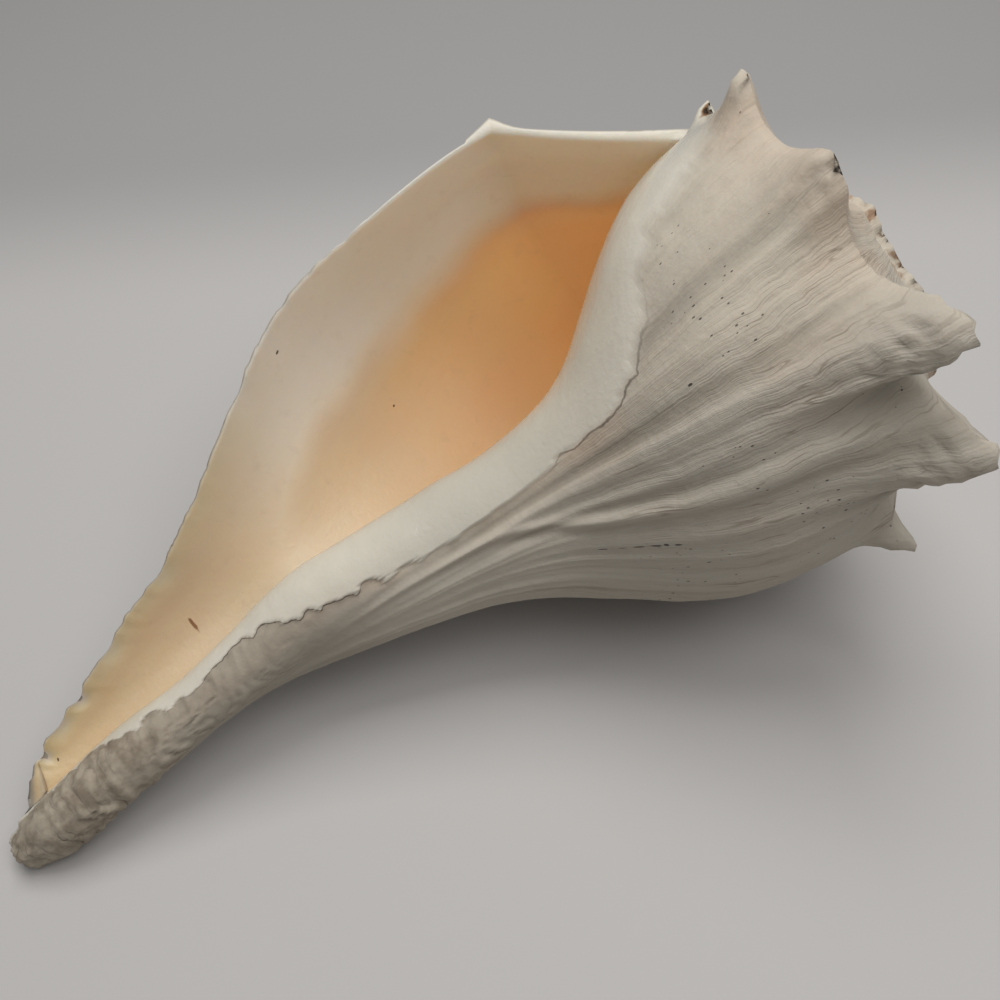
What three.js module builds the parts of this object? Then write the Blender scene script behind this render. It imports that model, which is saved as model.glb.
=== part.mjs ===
// Left-handed knobbed whelk shell, one closed solid. Millimetres, Z up.
// The shell lies mouth up on the tip of its canal and on the knobs of its back.
import * as THREE from 'three';

// ---- driving dimensions ---------------------------------------------------
// "turn" counts whorls: 0 at the outer lip, -1 one whorl earlier, and so on back to the apex.
// Heights are measured along the coil axis from the apex toward the tip of the canal.
const FIRST_TURN = -4;            // start of the earliest whorl
const TIP_HEIGHT = 301.5;         // rounded end of the canal
const LIP_RADIUS = 88.4;          // shoulder radius at the lip
const SHOULDER_RADIUS = [[-4, 0], [-3.7, 5.5], [-3, 12.5], [-2, 27], [-1.5, 39.5], [-1, 54.4],
  [-0.75, 59], [-0.5, 64.6], [-0.25, 75.5], [0, LIP_RADIUS]];
const SHOULDER_HEIGHT = [[-4, 12], [-3, 14], [-2, 16], [-1.78, 17.8], [-1.62, 21], [-1.5, 22.4],
  [-1.2, 24.2], [-1, 26], [-0.9, 29.6], [-0.8, 34.8], [-0.7, 41], [-0.5, 52.5], [-0.25, 64.5], [0, 76]];
// whorl outline below the shoulder: distance down the whorl, share of the shoulder radius
const BODY_OUTLINE = [[0, 1], [8, 1], [20, 0.99], [35, 0.965], [50, 0.92], [60, 0.872],
  [72, 0.79], [85, 0.68], [95, 0.59], [112, 0.44], [130, 0.33], [147, 0.255], [162, 0.2],
  [187, 0.11], [205, 0.05], [224, 0]];
const LIP_OUTLINE = [[0, 1], [17, 1.01], [42, 0.995], [60, 0.975], [80, 0.915], [88, 0.872],
  [101, 0.785], [117, 0.668], [131, 0.57], [142, 0.5], [161, 0.42], [170, 0.378], [182, 0.32],
  [193, 0.275], [205, 0.21], [211, 0.15], [216, 0.08], [224, 0]];
const LIP_FLARE = 0.3;            // share of a turn over which the whorl opens to the lip
const SUTURE_DROP = 5;            // each whorl starts this far under the earlier shoulder
// pillar and canal stem: radius, and how far its centre bends toward the lip side
const STEM_RADIUS = [[0, 12], [60, 12], [100, 14], [130, 14], [160, 13], [180, 12], [193, 11.5],
  [204, 10], [213, 8.8], [239, 7.7], [264, 8.2], [285, 7.9], [292, 7.2], [298, 5.2], [300, 3.6]];
const STEM_BEND = [[0, 0], [110, 0], [150, 3.2], [175, 6], [193, 7.8], [204, 7.9], [213, 7.2],
  [239, 5], [264, 3], [285, 0.4], [300, -0.6]];
const STEM_BLEND = 9;             // softness of the join between whorl and stem
// knobs along the shoulder: turn, height, half widths before and after in degrees,
// half widths toward the apex and toward the canal in millimetres
const KNOBS = [[0, 2.5, 4, 4, 5, 8], [-0.09, 5, 9, 7, 9, 12], [-0.185, 9, 10, 8, 9, 13],
  [-0.295, 15, 10, 8, 10, 15], [-0.395, 24, 10, 8, 11, 16], [-0.503, 10, 6, 7, 7, 8],
  [-0.562, -6, 8, 9, 12, 16], [-0.626, 20.5, 12, 5, 12, 18], [-0.692, 23, 17, 4.6, 11, 20],
  [-0.8, 11.5, 11, 8, 10, 14], [-0.902, 11, 10, 8, 10, 11], [-0.985, 6, 6, 5, 5, 7],
  [-1.13, 5, 8, 7, 6, 6], [-1.24, 4, 9, 7, 6, 6], [-1.35, 4, 9, 7, 6, 6], [-1.46, 5, 9, 7, 5, 6],
  [-1.57, 3, 9, 7, 5, 5], [-1.68, 3, 9, 7, 5, 5], [-1.79, 3, 9, 7, 4, 5],
  [-1.9, 2.5, 9, 7, 4, 4]];       // a height below zero is a hollow beside a knob
const KNOB_LIFT = 0.3;            // knobs lean toward the apex by this share of their height
const WALL = [[-1.35, 3], [-1, 4], [-0.3, 3.6], [-0.05, 2.8], [0, 2.4]];   // thickness by turn
const LIP_ROUND = 1.1;            // how far the lip edge is rounded over
// the hollow: how deep it winds in, where it starts and where it ends on each half plane
const HOLLOW_DEPTH = 1.35;
const HOLLOW_TOP_GAP = 5;
const HOLLOW_END = [[-1.35, 76], [-1, 101], [-0.72, 130], [-0.5, 158], [-0.35, 186], [-0.25, 212],
  [-0.15, 245], [-0.07, 272], [0, 287]];
const CANAL_END = 292;            // the lip joins the stem here
// resting pose in degrees: canal end down, and the mouth turned up from sideways
const TILT = 17.93;
const ROLL = 34.07;
// mesh density
const ROWS = 64;                  // per whorl
const HOLLOW_ROWS = 36;

// ---- helpers ----------------------------------------------------------------
const clamp = (x, a, b) => Math.min(b, Math.max(a, x));
const smoothStep = (a, b, x) => { const t = clamp((x - a) / (b - a), 0, 1); return t * t * (3 - 2 * t); };

// monotone cubic through a list of points
function curve(points) {
  const n = points.length;
  const x = points.map(p => p[0]), y = points.map(p => p[1]);
  const h = [], d = [], m = new Array(n).fill(0);
  for (let i = 0; i < n - 1; i++) { h.push(x[i + 1] - x[i]); d.push((y[i + 1] - y[i]) / h[i]); }
  m[0] = d[0]; m[n - 1] = d[n - 2];
  for (let i = 1; i < n - 1; i++) {
    if (d[i - 1] * d[i] > 0) {
      const w1 = 2 * h[i] + h[i - 1], w2 = h[i] + 2 * h[i - 1];
      m[i] = (w1 + w2) / (w1 / d[i - 1] + w2 / d[i]);
    }
  }
  return q => {
    const v = clamp(q, x[0], x[n - 1]);
    let i = 0;
    while (i < n - 2 && v >= x[i + 1]) i++;
    const t = (v - x[i]) / h[i], t2 = t * t, t3 = t2 * t;
    return y[i] * (2 * t3 - 3 * t2 + 1) + m[i] * h[i] * (t3 - 2 * t2 + t)
      + y[i + 1] * (3 * t2 - 2 * t3) + m[i + 1] * h[i] * (t3 - t2);
  };
}

function softMax(a, b, k) {
  const h = clamp(0.5 + 0.5 * (a - b) / k, 0, 1);
  return b * (1 - h) + a * h + k * h * (1 - h);
}

const shoulderRadius = curve(SHOULDER_RADIUS), shoulderHeight = curve(SHOULDER_HEIGHT);
const bodyOutline = curve(BODY_OUTLINE), lipOutline = curve(LIP_OUTLINE);
const stemRadius = curve(STEM_RADIUS), stemBend = curve(STEM_BEND);
const wall = curve(WALL), hollowEnd = curve(HOLLOW_END);
const size = turn => shoulderRadius(turn) / LIP_RADIUS;

// ---- outer surface, as radius and height on the half plane of a turn ---------
function stem(height, turn) {
  const a = 2 * Math.PI * turn, bend = stemBend(height), r = stemRadius(height);
  return bend * Math.cos(a) + Math.sqrt(Math.max(r * r - (bend * Math.sin(a)) ** 2, 0));
}

function whorl(height, turn) {
  const s = Math.max(size(turn), 1e-3);
  const down = (height - shoulderHeight(turn)) / s;
  const open = smoothStep(-LIP_FLARE, 0, turn);
  const share = bodyOutline(down) * (1 - open) + lipOutline(down) * open;
  return shoulderRadius(turn) * share;
}

function side(height, turn) {
  const k = STEM_BLEND * (1 - 0.8 * smoothStep(255, 290, height));
  return softMax(whorl(height, turn), stem(height, turn), k);
}

function knobs(turn, along, hollowsOnly = false) {
  let d = 0;
  for (const [at, tall, before, after, up, down] of KNOBS) {
    if (hollowsOnly && tall > 0) continue;
    const a = (turn - at) * 360 / (turn < at ? before : after);
    const b = along / (along < 0 ? up : down);
    const q = a * a + b * b;
    if (q < 30) d += tall * (0.6 * Math.exp(-q) + 0.4 * Math.exp(-2.4 * Math.sqrt(q + 0.02) + 0.34));
  }
  return d;
}

function raised(r, u, turn, along) {
  const d = knobs(turn, along);
  return [r + 0.95 * d, u - KNOB_LIFT * d];
}

// height on the whorl wall at the suture line of the next whorl
const seam = turn => shoulderHeight(turn) + SUTURE_DROP * size(turn);

function seamPoint(turn) {
  if (turn <= FIRST_TURN) return [0, shoulderHeight(FIRST_TURN)];
  const u = seam(turn);
  return raised(shoulderRadius(turn) * bodyOutline(SUTURE_DROP), u, turn, u - shoulderHeight(turn));
}

// ramp columns run from the suture (0) to the shoulder (1)
function rampPoint(turn, w, plain) {
  const [r0, u0] = seamPoint(turn - 1);
  const r1 = shoulderRadius(turn), u1 = shoulderHeight(turn);
  if (w === 0) return [r0, u0];
  const length = Math.hypot(r1 - r0, u1 - u0);
  const r = r0 + (r1 - r0) * w, u = u0 + (u1 - u0) * w + 0.03 * length * Math.sin(Math.PI * w);
  if (plain) return [r, u];
  const fade = smoothStep(0, 0.25, w);
  const d = knobs(turn, -length * (1 - w)) * fade;
  return [r + 0.95 * d, u - KNOB_LIFT * d];
}

function sidePoint(turn, u, plain) {
  const r = side(u, turn);
  return plain ? [r, u] : raised(r, u, turn, u - shoulderHeight(turn));
}

// ---- columns -----------------------------------------------------------------
const RAMP = [0, 0.22, 0.45, 0.66, 0.84];
// share of the way from the seam line to the end of the canal, on the wall of a whorl
const DOWN = [0, 0.0095, 0.019, 0.045, 0.075, 0.11, 0.15, 0.195, 0.245, 0.3, 0.36, 0.42, 0.48,
  0.54, 0.6, 0.67, 0.74, 0.81, 0.88, 0.94, 0.97, 0.985, 1];
const NUB = [295, 298, 300];      // heights on the closed end of the canal
const SEAM = RAMP.length + 1;     // column index of the seam line
const TOP = SEAM + 2;             // column where the hollow starts
const END = SEAM + DOWN.length - 1;
const LOW = END - 2;              // column where the hollow ends
const LAST = END + NUB.length;

function column(turn, j) {
  if (j < RAMP.length) return rampPoint(turn, RAMP[j]);
  if (j === RAMP.length) return rampPoint(turn, 1);
  if (j === SEAM) return seamPoint(turn);
  if (j > END) return [stem(NUB[j - END - 1], turn), NUB[j - END - 1]];
  const u = seam(turn) + (CANAL_END - seam(turn)) * DOWN[j - SEAM];
  return j === END ? [stem(u, turn), u] : sidePoint(turn, u);
}

// ---- vertices ------------------------------------------------------------------
const positions = [], triangles = [];
function vertex(turn, [r, u]) {
  const a = 2 * Math.PI * turn;
  positions.push(new THREE.Vector3(r * Math.cos(a), r * Math.sin(a), u));
  return positions.length - 1;
}
function quad(a, b, c, d, flip) {
  for (const t of [[a, b, d], [b, c, d]]) {
    if (t[0] === t[1] || t[1] === t[2] || t[0] === t[2]) continue;
    triangles.push(flip ? [t[0], t[2], t[1]] : t);
  }
}
function sheet(rows, flip) {
  for (let i = 0; i + 1 < rows.length; i++)
    for (let j = 0; j + 1 < rows[i].length; j++)
      quad(rows[i][j], rows[i + 1][j], rows[i + 1][j + 1], rows[i][j + 1], flip);
}

// spire ribbon: earliest whorls, suture to seam line
const apex = vertex(0, [0, shoulderHeight(FIRST_TURN)]);
const spireTurns = Math.round((-1 - FIRST_TURN) * ROWS);
const spire = [new Array(SEAM + 1).fill(apex)];
for (let i = 1; i <= spireTurns; i++) {
  const turn = FIRST_TURN + i / ROWS, row = [];
  for (let j = 0; j <= SEAM; j++) {
    if (j === 0) row.push(i <= ROWS ? apex : spire[i - ROWS][SEAM]);
    else row.push(vertex(turn, column(turn, j)));
  }
  spire.push(row);
}

// last whorl: suture to the tip of the canal
const last = [];
for (let i = 0; i <= ROWS; i++) {
  const turn = -1 + i / ROWS, row = [];
  for (let j = 0; j <= LAST; j++) {
    if (i === 0 && j <= SEAM) row.push(spire[spireTurns][j]);
    else if (i === ROWS && j === 0) row.push(last[0][SEAM]);
    else if (i === ROWS && j >= END) row.push(last[0][j]);
    else if (j === 0) row.push(spire[spireTurns - ROWS + i][SEAM]);
    else row.push(vertex(turn, column(turn, j)));
  }
  last.push(row);
}
const tip = vertex(0, [0, TIP_HEIGHT]);

// inner side of the hollow: the older whorl and the pillar, seen from inside the mouth
const inner = [last[0].slice(TOP, LOW + 1)];
const hollowTurn = i => -HOLLOW_DEPTH * (i / HOLLOW_ROWS) ** 1.3;   // rows crowd toward the lip
const topOf = turn => seam(turn) + HOLLOW_TOP_GAP;
for (let i = 1; i <= HOLLOW_ROWS; i++) {
  const turn = -1 + hollowTurn(i), row = [];
  const u0 = topOf(turn), u1 = hollowEnd(turn + 1);
  for (let j = TOP; j <= LOW; j++) {
    const w = (DOWN[j - SEAM] - DOWN[2]) / (DOWN[LOW - SEAM] - DOWN[2]);
    row.push(vertex(turn, sidePoint(turn, u0 + (u1 - u0) * w, true)));
  }
  inner.push(row);
}

// outer side of the hollow: the inside face of the last whorl
function innerFace(turn, j, from, to) {
  const t = wall(turn);
  const corner = [shoulderRadius(turn) - t, shoulderHeight(turn) + 1.15 * t];
  if (j <= RAMP.length) {
    const w = j < RAMP.length ? RAMP[j] : 1;
    const length = Math.hypot(corner[0] - from[0], corner[1] - from[1]);
    const dent = knobs(turn, -length * (1 - w), true) * w;
    return [from[0] + (corner[0] - from[0]) * w + dent,
      from[1] + (corner[1] - from[1]) * w + 0.03 * length * Math.sin(Math.PI * w)];
  }
  const w = (DOWN[j - SEAM] + 0.02) / 1.02;
  const u = corner[1] + (to[1] - corner[1]) * w;
  const slope = side(u + 0.5, turn) - side(u - 0.5, turn);
  const dent = knobs(turn, u - shoulderHeight(turn), true);
  return [side(u, turn) + dent - t * Math.hypot(1, slope), u];
}
const outer = [];
for (let i = 0; i <= HOLLOW_ROWS; i++) {
  const turn = hollowTurn(i), row = [];
  const u0 = topOf(turn - 1), u1 = i === 0 ? column(-1, LOW)[1] : hollowEnd(turn);
  const from = i === 0 ? column(-1, TOP) : sidePoint(turn - 1, u0, true);
  const to = i === 0 ? column(-1, LOW) : sidePoint(turn - 1, u1, true);
  const final = innerFace(turn, END, from, to);
  for (let j = 0; j <= END; j++) {
    if (j === 0) row.push(inner[i][0]);
    else if (j === END) row.push(inner[i][LOW - TOP]);
    else {
      const [r, u] = innerFace(turn, j, from, to);
      const tail = smoothStep(0.72, 1, j < SEAM ? 0 : DOWN[j - SEAM]);
      row.push(vertex(turn, [r + tail * (to[0] - final[0]), u]));
    }
  }
  outer.push(row);
}

// rounded lip edge between the outside and the inside face
const rim = [last[ROWS].slice(0, END + 1)];
const middle = [];
for (let j = 0; j <= END; j++) {
  if (j === 0) middle.push(last[0][SEAM + 1]);
  else if (j === END) middle.push(last[0][END - 1]);
  else {
    const p = positions[last[ROWS][j]].clone().add(positions[outer[0][j]]).multiplyScalar(0.5);
    positions.push(p.add(new THREE.Vector3(0, LIP_ROUND, 0)));
    middle.push(positions.length - 1);
  }
}
rim.push(middle, outer[0]);

sheet(spire);
sheet(last);
sheet([...inner].reverse());
sheet([...outer].reverse(), true);
sheet(rim);
for (let i = 0; i < ROWS; i++) quad(last[i][LAST], last[i + 1][LAST], tip, tip);

// closed inner end of the hollow
const loop = [...outer[HOLLOW_ROWS], ...[...inner[HOLLOW_ROWS]].reverse().slice(1, -1)];
const middlePoint = new THREE.Vector3();
for (const k of loop) middlePoint.add(positions[k]);
positions.push(middlePoint.multiplyScalar(1 / loop.length));
const back = positions.length - 1;
for (let k = 0; k < loop.length; k++) quad(loop[(k + 1) % loop.length], loop[k], back, back);

// ---- lay the shell down ---------------------------------------------------------
// coil frame to world: apex toward +X, canal toward -X, lip side toward +Y
const tilt = TILT * Math.PI / 180, roll = ROLL * Math.PI / 180;
const axis = new THREE.Vector3(-Math.cos(tilt), 0, -Math.sin(tilt));
const level = new THREE.Vector3(0, 1, 0);
const upward = new THREE.Vector3(-Math.sin(tilt), 0, Math.cos(tilt));
const lipWay = level.clone().multiplyScalar(Math.cos(roll)).addScaledVector(upward, Math.sin(roll));
const growWay = new THREE.Vector3().crossVectors(lipWay, axis);
const box = new THREE.Box3();
for (const p of positions) {
  const q = lipWay.clone().multiplyScalar(p.x).addScaledVector(growWay, p.y).addScaledVector(axis, p.z);
  p.copy(q);
  box.expandByPoint(p);
}
const shift = new THREE.Vector3((box.min.x + box.max.x) / 2, (box.min.y + box.max.y) / 2, box.min.z);
for (const p of positions) p.sub(shift);

let volume = 0;
for (const [a, b, c] of triangles)
  volume += positions[a].dot(new THREE.Vector3().crossVectors(positions[b], positions[c])) / 6;
if (volume < 0) for (const t of triangles) t.reverse();

const geometry = new THREE.BufferGeometry();
geometry.setAttribute('position', new THREE.BufferAttribute(
  new Float32Array(positions.flatMap(p => [p.x, p.y, p.z])), 3));
geometry.setIndex(triangles.flat());
geometry.computeVertexNormals();

const material = new THREE.MeshStandardMaterial({ color: 0xd9cfbe, roughness: 0.75, metalness: 0 });
material.name = 'shell';
const shell = new THREE.Mesh(geometry, material);
shell.name = 'shell';
const group = new THREE.Group();
group.name = 'conch_shell';
group.add(shell);
export default group;
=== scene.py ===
import bpy
import math
import numpy as np
from mathutils import Matrix, Vector, noise


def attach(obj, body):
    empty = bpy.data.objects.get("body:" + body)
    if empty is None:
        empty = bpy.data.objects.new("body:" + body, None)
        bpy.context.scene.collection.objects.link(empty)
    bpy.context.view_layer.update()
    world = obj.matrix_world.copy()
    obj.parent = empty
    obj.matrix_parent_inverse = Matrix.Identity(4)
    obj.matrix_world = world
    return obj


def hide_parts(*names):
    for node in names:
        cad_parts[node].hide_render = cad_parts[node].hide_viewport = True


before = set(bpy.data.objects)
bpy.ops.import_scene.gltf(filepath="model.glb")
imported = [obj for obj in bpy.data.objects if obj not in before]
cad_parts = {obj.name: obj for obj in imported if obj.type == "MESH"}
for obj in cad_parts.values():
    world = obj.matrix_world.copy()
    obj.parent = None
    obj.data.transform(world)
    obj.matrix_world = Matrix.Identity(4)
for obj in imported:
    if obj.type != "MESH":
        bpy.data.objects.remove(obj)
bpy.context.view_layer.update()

# growth of the shell: "turn" is 0 at the lip and -1 one whorl earlier,
# heights run along the coil axis in mm, from the apex toward the canal
growth = {
    "firstTurn": -4,
    "tipHeight": 301.5,
    "lipRadius": 88.4,
    "shoulderRadius": [(-4, 0), (-3.7, 5.5), (-3, 12.5), (-2, 27), (-1.5, 39.5), (-1, 54.4),
                       (-0.75, 59), (-0.5, 64.6), (-0.25, 75.5), (0, 88.4)],
    "shoulderHeight": [(-4, 12), (-3, 14), (-2, 16), (-1.78, 17.8), (-1.62, 21), (-1.5, 22.4),
                       (-1.2, 24.2), (-1, 26), (-0.9, 29.6), (-0.8, 34.8), (-0.7, 41),
                       (-0.5, 52.5), (-0.25, 64.5), (0, 76)],
    "bodyOutline": [(0, 1), (8, 1), (20, 0.99), (35, 0.965), (50, 0.92), (60, 0.872),
                    (72, 0.79), (85, 0.68), (95, 0.59), (112, 0.44), (130, 0.33),
                    (147, 0.255), (162, 0.2), (187, 0.11), (205, 0.05), (224, 0)],
    "lipOutline": [(0, 1), (17, 1.01), (42, 0.995), (60, 0.975), (80, 0.915), (88, 0.872),
                   (101, 0.785), (117, 0.668), (131, 0.57), (142, 0.5), (161, 0.42),
                   (170, 0.378), (182, 0.32), (193, 0.275), (205, 0.21), (211, 0.15),
                   (216, 0.08), (224, 0)],
    "lipFlare": 0.3,
    "sutureDrop": 5,
    "stemRadius": [(0, 12), (60, 12), (100, 14), (130, 14), (160, 13), (180, 12), (193, 11.5),
                   (204, 10), (213, 8.8), (239, 7.7), (264, 8.2), (285, 8), (292, 7.8),
                   (298, 6.4), (300, 5)],
    "stemBend": [(0, 0), (110, 0), (150, 3.2), (175, 6), (193, 7.8), (204, 7.9), (213, 7.2),
                 (239, 5), (264, 3), (285, 0.4), (300, -0.6)],
    "stemBlend": 9,
    "wall": [(-1.35, 3), (-1, 4), (-0.3, 3.6), (-0.12, 2.9), (-0.03, 1.9), (0, 1.1)],
    "hollowDepth": 1.35,
    "hollowTopGap": 5,
    "hollowEnd": [(-1.35, 76), (-1, 101), (-0.72, 130), (-0.5, 158), (-0.35, 186), (-0.25, 212),
                  (-0.15, 245), (-0.07, 272), (0, 287)],
    "canalEnd": 292,
    "nub": [293.5, 295, 296.5, 298, 299.2, 300],
    "rampSwell": 0.03, "knobLift": 0.3,
}
# how the shell lies: canal end down, mouth turned up, and where the apex of the coil axis sits
lying = {"tilt": 17.93, "roll": 34.07, "shift": (-146.834, 4.369, -97.126)}
# knobs along the shoulder: turn, height, reach before and after in degrees, reach toward
# the apex and toward the canal in mm, how blunt the tip is and how far it leans over in mm;
# a height below zero is a hollow beside a knob
knobList = [
    (0, 2.5, 4, 4, 5, 8, 0, 0), (-0.09, 5, 9, 7, 9, 12, 0, 0), (-0.185, 9, 10, 8, 9, 13, 1, 0),
    (-0.295, 15, 10, 8, 10, 15, 1, 0), (-0.395, 24, 10, 8, 11, 16, 2, 0),
    (-0.506, 16, 3.2, 3.1, 5, 5, 5, 0), (-0.466, -5, 4.5, 5, 9, 13, 0, 0),
    (-0.562, -7, 8, 9, 12, 16, 0, 0), (-0.633, 21, 12, 5.5, 12, 18, 1, 3.5),
    (-0.672, -3, 3.5, 5, 12, 14, 0, 0),
    (-0.701, 24, 10.8, 4.2, 10, 20, 2.5, 5), (-0.8, 12, 11, 8, 10, 14, 1, 0),
    (-0.902, 6.5, 11, 9, 11, 10, 1.6, 0), (-0.9, 10.5, 3.8, 3.4, 5.5, 4.8, 4.6, 0),
    (-0.985, 7.4, 4, 3.4, 4.5, 6, 2.6, 0),
    (-1.13, 5, 8, 7, 6, 6, 0, 0), (-1.24, 4, 9, 7, 6, 6, 0, 0), (-1.35, 4, 9, 7, 6, 6, 0, 0),
    (-1.46, 5, 9, 7, 5, 6, 0, 0), (-1.57, 3, 9, 7, 5, 5, 0, 0), (-1.68, 3, 9, 7, 5, 5, 0, 0),
    (-1.79, 3, 9, 7, 4, 5, 0, 0), (-1.9, 2.5, 9, 7, 4, 4, 0, 0)]
# how fine the visible mesh is, and where down the whorl its bands of columns start
fineness = {"rows": 290, "denseShare": 0.56, "denseRows": 205, "rampSteps": 16, "bodySteps": 66,
            "canalSteps": 104, "edgeSteps": 4, "hollowRows": 62, "hollowCrowd": 1.6,
            "bodyFrom": 0.019, "canalFrom": 0.53, "endFrom": 0.97}


def curveThrough(points):
    # smooth curve through the points that never overshoots them
    x = np.array([p[0] for p in points], float)
    y = np.array([p[1] for p in points], float)
    h = np.diff(x)
    d = np.diff(y) / h
    m = np.zeros(len(x))
    m[0], m[-1] = d[0], d[-1]
    for i in range(1, len(x) - 1):
        if d[i - 1] * d[i] > 0:
            w1, w2 = 2 * h[i] + h[i - 1], h[i] + 2 * h[i - 1]
            m[i] = (w1 + w2) / (w1 / d[i - 1] + w2 / d[i])

    def at(q):
        v = np.clip(np.asarray(q, float), x[0], x[-1])
        i = np.clip(np.searchsorted(x, v, side="right") - 1, 0, len(x) - 2)
        t = (v - x[i]) / h[i]
        return (y[i] * (2 * t**3 - 3 * t**2 + 1) + m[i] * h[i] * (t**3 - 2 * t**2 + t)
                + y[i + 1] * (3 * t**2 - 2 * t**3) + m[i + 1] * h[i] * (t**3 - t**2))
    return at


def smoothStep(a, b, x):
    t = np.clip((x - a) / (b - a), 0, 1)
    return t * t * (3 - 2 * t)


def softMax(a, b, k):
    h = np.clip(0.5 + 0.5 * (a - b) / k, 0, 1)
    return b * (1 - h) + a * h + k * h * (1 - h)


shoulderRadius = curveThrough(growth["shoulderRadius"])
shoulderHeight = curveThrough(growth["shoulderHeight"])
bodyOutline = curveThrough(growth["bodyOutline"])
lipOutline = curveThrough(growth["lipOutline"])
stemRadius = curveThrough(growth["stemRadius"])
stemBend = curveThrough(growth["stemBend"])
wallAt = curveThrough(growth["wall"])
hollowEnd = curveThrough(growth["hollowEnd"])


def size(turn):
    return shoulderRadius(turn) / growth["lipRadius"]


def stem(height, turn):
    a = 2 * math.pi * turn
    bend, r = stemBend(height), stemRadius(height)
    return bend * np.cos(a) + np.sqrt(np.maximum(r * r - (bend * np.sin(a))**2, 0))


def whorl(height, turn):
    down = (height - shoulderHeight(turn)) / np.maximum(size(turn), 1e-3)
    opened = smoothStep(-growth["lipFlare"], 0, turn)
    return shoulderRadius(turn) * (bodyOutline(down) * (1 - opened) + lipOutline(down) * opened)


def side(height, turn):
    k = growth["stemBlend"] * (1 - 0.8 * smoothStep(255, 290, height))
    return softMax(whorl(height, turn), stem(height, turn), k)


def knobShapes(turn, along, hollowsOnly=False):
    # how far the knobs stand out, and how far they lean over
    out = np.zeros(np.broadcast(turn, along).shape)
    lean = out.copy()
    for at, tall, before, after, up, down, blunt, over in knobList:
        if hollowsOnly and tall > 0:
            continue
        a = np.abs(turn - at) * 360 / np.where(turn < at, before, after)
        a = np.where(turn < at, a**1.25, a)
        b = along / np.where(along < 0, up, down)
        q = a * a + b * b
        one = tall * (0.6 * np.exp(-q) + 0.4 * np.exp(-2.4 * np.sqrt(q + 0.02) + 0.34))
        if blunt:
            one = -softMax(-one, -(tall - blunt) * np.ones_like(one), 1.5)
        one = np.where(q < 30, one, 0)
        out += one
        lean += over * (one / tall)**2
    return out, lean


def raised(r, u, turn, along, fade=1):
    d = knobShapes(turn, along)[0] * fade
    return r + 0.95 * d, u - growth["knobLift"] * d


def seam(turn):
    return shoulderHeight(turn) + growth["sutureDrop"] * size(turn)


def seamPoint(turn):
    u = seam(turn)
    r, h = raised(shoulderRadius(turn) * bodyOutline(growth["sutureDrop"]), u, turn,
                  u - shoulderHeight(turn))
    first = turn <= growth["firstTurn"]
    return np.where(first, 0, r), np.where(first, shoulderHeight(growth["firstTurn"]), h)


def rampPoint(turn, w):
    r0, u0 = seamPoint(turn - 1)
    r1, u1 = shoulderRadius(turn), shoulderHeight(turn)
    length = np.hypot(r1 - r0, u1 - u0)
    r = r0 + (r1 - r0) * w
    u = u0 + (u1 - u0) * w + growth["rampSwell"] * length * np.sin(math.pi * w)
    return raised(r, u, turn, -length * (1 - w), smoothStep(0, 0.25, w))


def sidePoint(turn, u):
    return raised(side(u, turn), u, turn, u - shoulderHeight(turn))


# columns of the mesh, from the seam of the whorls over the shoulder to the tip of the canal
edge = fineness["edgeSteps"]
rampShares = 1 - (1 - np.linspace(0, 1, fineness["rampSteps"] + 1))**1.3
bodyFrom, canalFrom, endFrom = (fineness[k] for k in ("bodyFrom", "canalFrom", "endFrom"))
downShares = np.concatenate([
    np.linspace(0, bodyFrom, edge + 1)[:-1],
    bodyFrom + (canalFrom - bodyFrom) * np.linspace(0, 1, fineness["bodySteps"] + 1)[:-1]**1.15,
    np.linspace(canalFrom, endFrom, fineness["canalSteps"] + 1)[:-1],
    np.linspace(endFrom, 1, edge + 1)])
seamCol = len(rampShares)
endCol = seamCol + len(downShares) - 1
topCol, lowCol = seamCol + edge, endCol - edge
lastCol = endCol + len(growth["nub"])


# rows of one whorl, denser on the half that faces up
def rowTurns(rows):
    dense = int(rows * fineness["denseRows"] / fineness["rows"])
    share = fineness["denseShare"]
    return np.concatenate([np.linspace(0, share, dense + 1)[:-1],
                           np.linspace(share, 1, rows - dense + 1)])


rows = fineness["rows"]
within = rowTurns(rows)

# lip edge: small chips broken out of it, in degrees of growth
lipChips = {"smoothUntil": 105, "depth": 2.2, "reach": 0.035,
            "notches": [(128, 3, 1.3), (152, 2, 1.2), (176, 4, 1.6), (203, 3, 1.4),
                        (224, 5, 3.2), (231, 3, 2.4), (247, 4, 3.2), (262, 3, 5.5),
                        (270, 4, 4), (279, 2, 4.5)]}


def chipAt(height):
    flat = np.asarray(height, float).ravel()
    worn = np.array([abs(noise.noise(Vector((h * 0.16, 3.1, 0)))) * 0.9
                     + abs(noise.noise(Vector((h * 0.55, 7.7, 0)))) * 0.55 for h in flat])
    cut = worn * smoothStep(lipChips["smoothUntil"], lipChips["smoothUntil"] + 25, flat)
    for at, wide, deep in lipChips["notches"]:
        cut = np.maximum(cut, deep * 0.5 * np.clip(1.2 - np.abs(flat - at) / wide, 0, 1)**0.6)
    return (lipChips["depth"] * cut / 360).reshape(np.shape(height))


def chipped(turn, height):
    reach = lipChips["reach"]
    return turn - chipAt(height) * smoothStep(-reach, 0, turn) * (turn > -reach)


vertexLists = {"r": [], "u": [], "angle": [], "turn": [], "kind": [], "share": []}
faces, faceMap = [], []


def addVertices(angleTurn, r, u, turn, kind, share):
    start = sum(len(a) for a in vertexLists["r"])
    shape = np.broadcast(angleTurn, r, u, turn, share).shape
    for key, value in (("angle", angleTurn), ("r", r), ("u", u), ("turn", turn),
                       ("kind", kind), ("share", share)):
        vertexLists[key].append(np.broadcast_to(value, shape).ravel().astype(float))
    return (start + np.arange(int(np.prod(shape)))).reshape(shape)


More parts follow.
